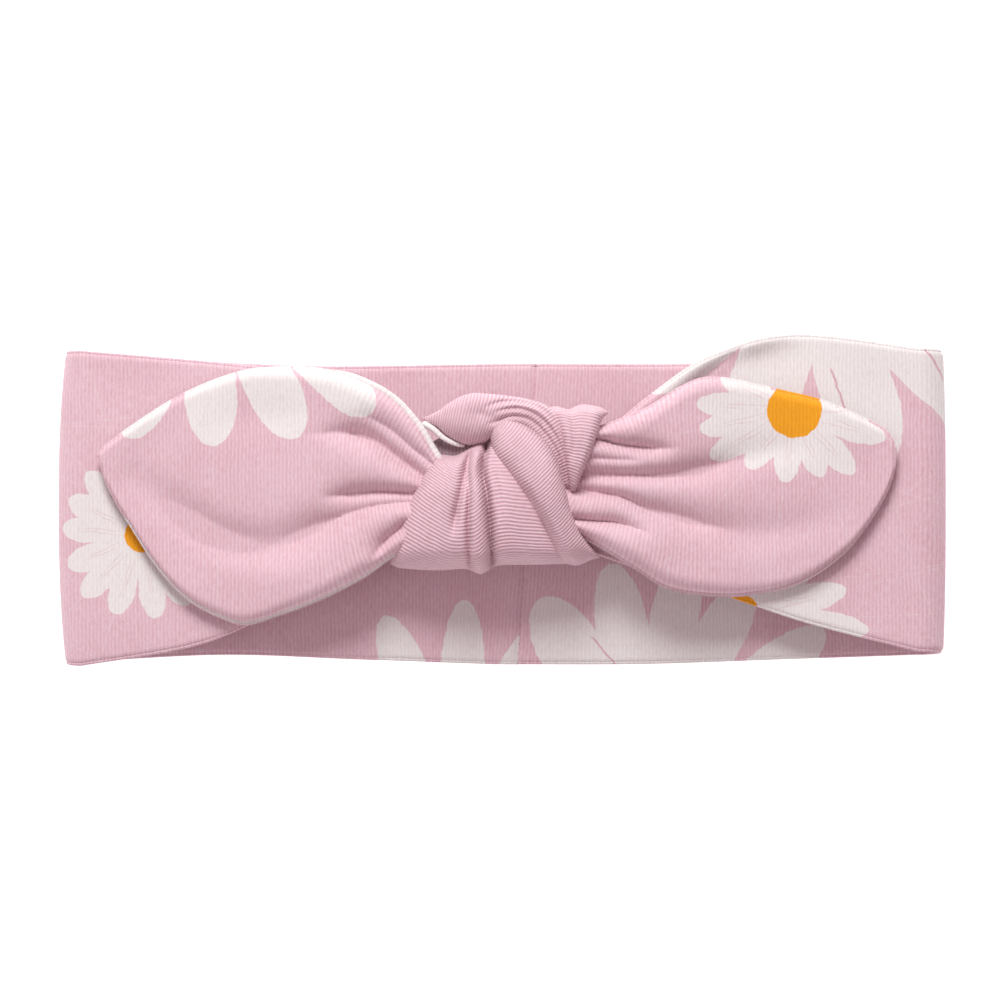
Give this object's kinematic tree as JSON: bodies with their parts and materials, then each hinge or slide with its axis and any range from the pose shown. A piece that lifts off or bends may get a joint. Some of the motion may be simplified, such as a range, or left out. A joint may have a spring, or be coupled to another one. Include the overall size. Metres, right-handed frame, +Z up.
{
  "type": "knotted headband",
  "caption": "Soft self-lined jersey headband with a tied front knot and two rounded leaf-shaped tails, printed with large and small daisies, lying flat.",
  "frame": {"origin": "centre of the bounding box at the surface that the back layer lies on", "axes": "+Z up off the table, through the back layer and then the knot; +X from the left fold to the right fold; +Y towards the upper long edge"},
  "size_m": [0.19, 0.0701, 0.0253],
  "materials": {
    "outer_jersey": "matt printed cotton jersey, pink with off-white and orange daisies",
    "lining_jersey": "matt printed cotton jersey, pink with large off-white petals",
    "seam_edge": "matt rolled jersey edge, off-white and pink",
    "sewing_thread": "matt spun polyester thread, pink"
  },
  "bodies": {
    "back_centre": {"left_outer_centre_back": "outer_jersey", "left_lining_centre_back": "lining_jersey", "left_centre_back_edge_seam": "seam_edge", "right_outer_centre_back": "outer_jersey", "right_lining_centre_back": "lining_jersey", "right_centre_back_edge_seam": "seam_edge", "centre_back_seam": "sewing_thread"},
    "left_back": {"left_outer_back": "outer_jersey", "left_lining_back": "lining_jersey", "left_back_edge_seam": "seam_edge", "left_outer_fold": "outer_jersey", "left_lining_fold": "lining_jersey"},
    "left_strap": {"left_outer_strap": "outer_jersey", "left_lining_strap": "lining_jersey", "left_strap_edge_seam": "seam_edge"},
    "right_back": {"right_outer_back": "outer_jersey", "right_lining_back": "lining_jersey", "right_back_edge_seam": "seam_edge", "right_outer_fold": "outer_jersey", "right_lining_fold": "lining_jersey"},
    "right_strap": {"right_outer_strap": "outer_jersey", "right_lining_strap": "lining_jersey", "right_strap_edge_seam": "seam_edge"},
    "knot": {"knot_top_loop": "outer_jersey", "knot_right_shoulder": "outer_jersey", "knot_front_wrap": "outer_jersey", "knot_diagonal_roll": "outer_jersey", "knot_back_wrap": "outer_jersey", "knot_lining_core": "lining_jersey"},
    "left_tail": {"left_outer_tail": "outer_jersey", "left_lining_tail": "lining_jersey", "left_tail_edge_seam": "seam_edge"},
    "right_tail": {"right_outer_tail": "outer_jersey", "right_lining_tail": "lining_jersey", "right_tail_edge_seam": "seam_edge"}
  },
  "joints": [
    {"name": "left_back_opens", "type": "hinge", "parent": "back_centre", "child": "left_back", "pos_m": [-0.024, 0, 0.001], "axis": [0, 1, 0], "range_deg": [0, 60]},
    {"name": "left_side_fold", "type": "hinge", "parent": "left_back", "child": "left_strap", "pos_m": [-0.0895, 0, 0.0055], "axis": [0, 1, 0], "range_deg": [-120, 0], "deforming": ["left_outer_fold", "left_lining_fold"]},
    {"name": "left_strap_at_knot", "type": "hinge", "parent": "left_strap", "child": "knot", "pos_m": [-0.024, 0, 0.01], "axis": [0, 1, 0], "range_deg": [0, 60]},
    {"name": "right_back_opens", "type": "hinge", "parent": "back_centre", "child": "right_back", "pos_m": [0.024, 0, 0.001], "axis": [0, -1, 0], "range_deg": [0, 60]},
    {"name": "right_side_fold", "type": "hinge", "parent": "right_back", "child": "right_strap", "pos_m": [0.0895, 0, 0.0055], "axis": [0, -1, 0], "range_deg": [-120, 0], "deforming": ["right_outer_fold", "right_lining_fold"]},
    {"name": "left_tail_lift", "type": "hinge", "parent": "knot", "child": "left_tail", "pos_m": [-0.026, 0, 0.015], "axis": [0, 1, 0], "range_deg": [0, 60]},
    {"name": "right_tail_lift", "type": "hinge", "parent": "knot", "child": "right_tail", "pos_m": [0.026, 0, 0.015], "axis": [0, -1, 0], "range_deg": [0, 60]}
  ],
  "couplings": [
    {"joint": "left_side_fold", "follows": "left_back_opens", "ratio": -2},
    {"joint": "left_strap_at_knot", "follows": "left_back_opens", "ratio": 1},
    {"joint": "right_back_opens", "follows": "left_back_opens", "ratio": 1},
    {"joint": "right_side_fold", "follows": "left_back_opens", "ratio": -2}
  ]
}
